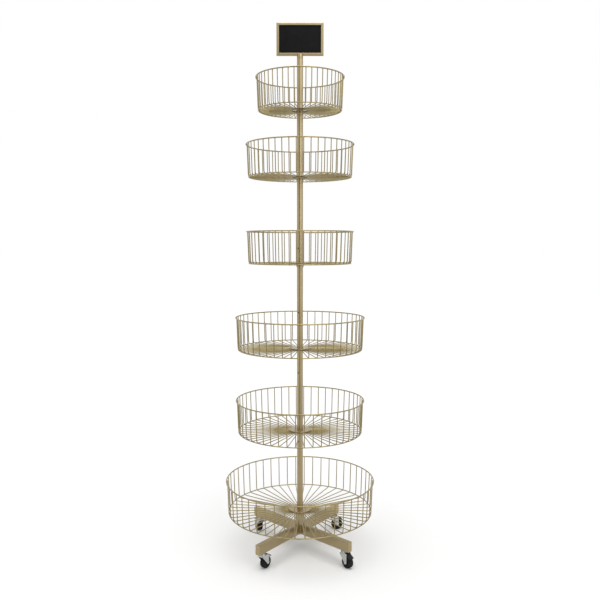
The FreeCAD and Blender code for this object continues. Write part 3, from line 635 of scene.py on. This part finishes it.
def caster(arm):
    """One caster: pressed fork with its bearing cup, riveted axle, wheel and brake pedal."""
    name = f"caster_{arm}"
    swivel = Vector(JOINTS[f"{name}_turn"]["pos_m"])
    axis = Vector(JOINTS[f"{name}_roll"]["axis"])
    forward = axis.cross(Vector((0, 0, 1)))
    place = Matrix.Translation((swivel.x, swivel.y, 0))
    place = place @ Matrix.Rotation(math.atan2(forward.y, forward.x), 4, "Z")
    across = Matrix.Rotation(-math.pi / 2, 4, "X")
    wheel = place @ Matrix.Translation((TRAIL * MM, 0, WHEEL_RADIUS * MM)) @ across
    hinge = Matrix.Translation((TRAIL * MM, 0, HINGE_HEIGHT * MM))
    pin = place @ hinge @ across
    pressed = place @ hinge @ Matrix.Rotation(PEDAL_PRESS, 4, "Y") @ hinge.inverted()

    fork, inside = Shape(), Shape()
    side = arc(TRAIL, WHEEL_RADIUS, 5.5, 180, 360, 18) + arc(TRAIL, HINGE_HEIGHT, 4.5, 0, 90, 8)
    side += arc(-9.5, 44.5, 1.5, 100, 230, 6)
    fork.prism(millimetres(side), -FORK_SIDE * MM, FORK_SIDE * MM, 1.1 * MM, place)
    hollow = millimetres(FORK_HOLLOW)
    inside.loft([[place @ Vector((x, y * MM, z)) for x, z in hollow] for y in (-FORK_INSIDE, FORK_INSIDE)])
    piece(carved(fork, inside, f"{name}_fork_pressed"), f"{name}_fork_pressed", ZINC, f"{name}_swivel",
          [f"{name}_fork"])
    cup = Shape()
    cup.lathe(soften(millimetres(CUP), 0), 48, place)
    piece(cup, f"{name}_cup", ZINC, f"{name}_swivel")

    axle = Shape()
    axle.lathe(soften(mirrored(AXLE_HALF), 0), 40, wheel)
    piece(axle, f"{name}_axle_riveted", ZINC, f"{name}_swivel", [f"{name}_axle"])

    tyre = Shape()
    tyre.lathe(soften(mirrored(TYRE_HALF), 0, 6), 72, wheel)
    piece(tyre, f"{name}_tyre_rounded", RUBBER, f"{name}_wheel", [f"{name}_tyre"])
    core = Shape()
    core.lathe(soften(mirrored(CORE_HALF), 0), 72, wheel)
    piece(core, f"{name}_core_moulded", PLASTIC, f"{name}_wheel", [f"{name}_core"])

    pedal = Shape()
    tongue = millimetres(arc(TRAIL, HINGE_HEIGHT, 3.2, 75, 312, 16) + TONGUE_TIP)
    pedal.prism(tongue, -TONGUE_SIDE * MM, TONGUE_SIDE * MM, 0.8 * MM, pressed)
    for x in RIDGES:
        height = TONGUE_TOP - (x - TRAIL) * TONGUE_FALL
        ridge = [Vector((x, y, height)) * MM for y in (-RIDGE_SIDE, 0, RIDGE_SIDE)]
        pedal.tube([pressed @ point for point in ridge], RIDGE * MM, 10)
    rod = millimetres([(0, -FORK_SIDE), (PEDAL_PIN, -FORK_SIDE), (PEDAL_PIN, FORK_SIDE), (0, FORK_SIDE)])
    pedal.lathe(soften(rod, 0.4 * MM), 24, pin)
    piece(pedal, f"{name}_pedal_moulded", PLASTIC, f"{name}_brake", [f"{name}_pedal"])


def floor_and_backdrop():
    """A pale floor that keeps the soft shadow and a white surround."""
    mesh = bpy.data.meshes.new("floor")
    corners = [(FLOOR_SIDE * x, FLOOR_SIDE * y, 0) for x, y in ((-1, -1), (1, -1), (1, 1), (-1, 1))]
    mesh.from_pydata(corners, [], [(0, 1, 2, 3)])
    floor = bpy.data.objects.new("floor", mesh)
    bpy.context.scene.collection.objects.link(floor)
    material, nodes, links = new_material("floor")
    nodes.clear()
    output = nodes.new("ShaderNodeOutputMaterial")
    total = nodes.new("ShaderNodeAddShader")
    paint = nodes.new("ShaderNodeBsdfDiffuse")
    paint.inputs["Color"].default_value = (FLOOR_PAINT, FLOOR_PAINT, FLOOR_PAINT, 1)
    glow = nodes.new("ShaderNodeEmission")
    glow.inputs["Color"].default_value = (1, 1, 1, 1)
    links.new(seen(nodes, links, FLOOR_GLOW), glow.inputs["Strength"])
    links.new(paint.outputs["BSDF"], total.inputs[0])
    links.new(glow.outputs["Emission"], total.inputs[1])
    links.new(total.outputs["Shader"], output.inputs["Surface"])
    mesh.materials.append(material)

    world = bpy.data.worlds.new("surround")
    bpy.context.scene.world = world
    world.use_nodes = True
    nodes, links = world.node_tree.nodes, world.node_tree.links
    background = nodes["Background"]
    background.inputs["Color"].default_value = (1, 1, 1, 1)
    sky = nodes.new("ShaderNodeMapRange")
    sky.inputs["To Min"].default_value = SKY
    sky.inputs["To Max"].default_value = 1.0
    links.new(seen(nodes, links, 1.0), sky.inputs["Value"])
    links.new(sky.outputs["Result"], background.inputs["Strength"])


def seen(nodes, links, strength):
    """That strength for rays that show the background, and nothing for the rest."""
    path = nodes.new("ShaderNodeLightPath")
    first = nodes.new("ShaderNodeMath")
    second = nodes.new("ShaderNodeMath")
    scaled = nodes.new("ShaderNodeMath")
    first.operation = second.operation = "MAXIMUM"
    scaled.operation = "MULTIPLY"
    scaled.inputs[1].default_value = strength
    links.new(path.outputs["Is Camera Ray"], first.inputs[0])
    links.new(path.outputs["Is Glossy Ray"], first.inputs[1])
    links.new(first.outputs["Value"], second.inputs[0])
    links.new(path.outputs["Is Transmission Ray"], second.inputs[1])
    links.new(second.outputs["Value"], scaled.inputs[0])
    return scaled.outputs["Value"]


def soft_sun(name, azimuth, elevation, strength, width):
    """A wide, soft light from far away, so that the floor is lit evenly."""
    light = bpy.data.lights.new(name, "SUN")
    light.energy = strength
    light.angle = math.radians(width)
    made = bpy.data.objects.new(name, light)
    made.rotation_euler = (math.radians(90 - elevation), 0, math.radians(azimuth))
    bpy.context.scene.collection.objects.link(made)


def dark_card(name, corners, shade):
    """A dim card in front of the stand that only shows in the metal, as the dark side of a studio does."""
    mesh = bpy.data.meshes.new(name)
    mesh.from_pydata(corners, [], [(0, 1, 2, 3)])
    card = bpy.data.objects.new(name, mesh)
    bpy.context.scene.collection.objects.link(card)
    card.visible_camera = card.visible_diffuse = card.visible_shadow = card.visible_transmission = False
    material, nodes, links = new_material(name)
    nodes.clear()
    output = nodes.new("ShaderNodeOutputMaterial")
    glow = nodes.new("ShaderNodeEmission")
    glow.inputs["Color"].default_value = (1, 1, 1, 1)
    glow.inputs["Strength"].default_value = shade
    links.new(glow.outputs["Emission"], output.inputs["Surface"])
    mesh.materials.append(material)


def camera():
    """The photo's camera, looking slightly down from a little over the middle of the stand."""
    data = bpy.data.cameras.new("camera")
    data.sensor_width = CAMERA_SENSOR
    data.lens = CAMERA_LENS
    made = bpy.data.objects.new("camera", data)
    made.location = CAMERA_PLACE
    made.rotation_euler = (math.radians(90 - CAMERA_TILT), 0, 0)
    bpy.context.scene.collection.objects.link(made)
    bpy.context.scene.camera = made


for number in BASKET_TURNS:
    basket(number)
pole()
base()
sign()
for arm in ARM_HEADINGS:
    caster(arm)
for node in ("pole_foot_plug", "pole_bolt", "caster_stems", "stem_nuts"):
    carried(node, ZINC)

floor_and_backdrop()
for name, values in SUNS.items():
    soft_sun(name, *values)
dark_card("card", CARD, CARD_SHADE)
camera()
bpy.context.scene.view_settings.view_transform = "Standard"
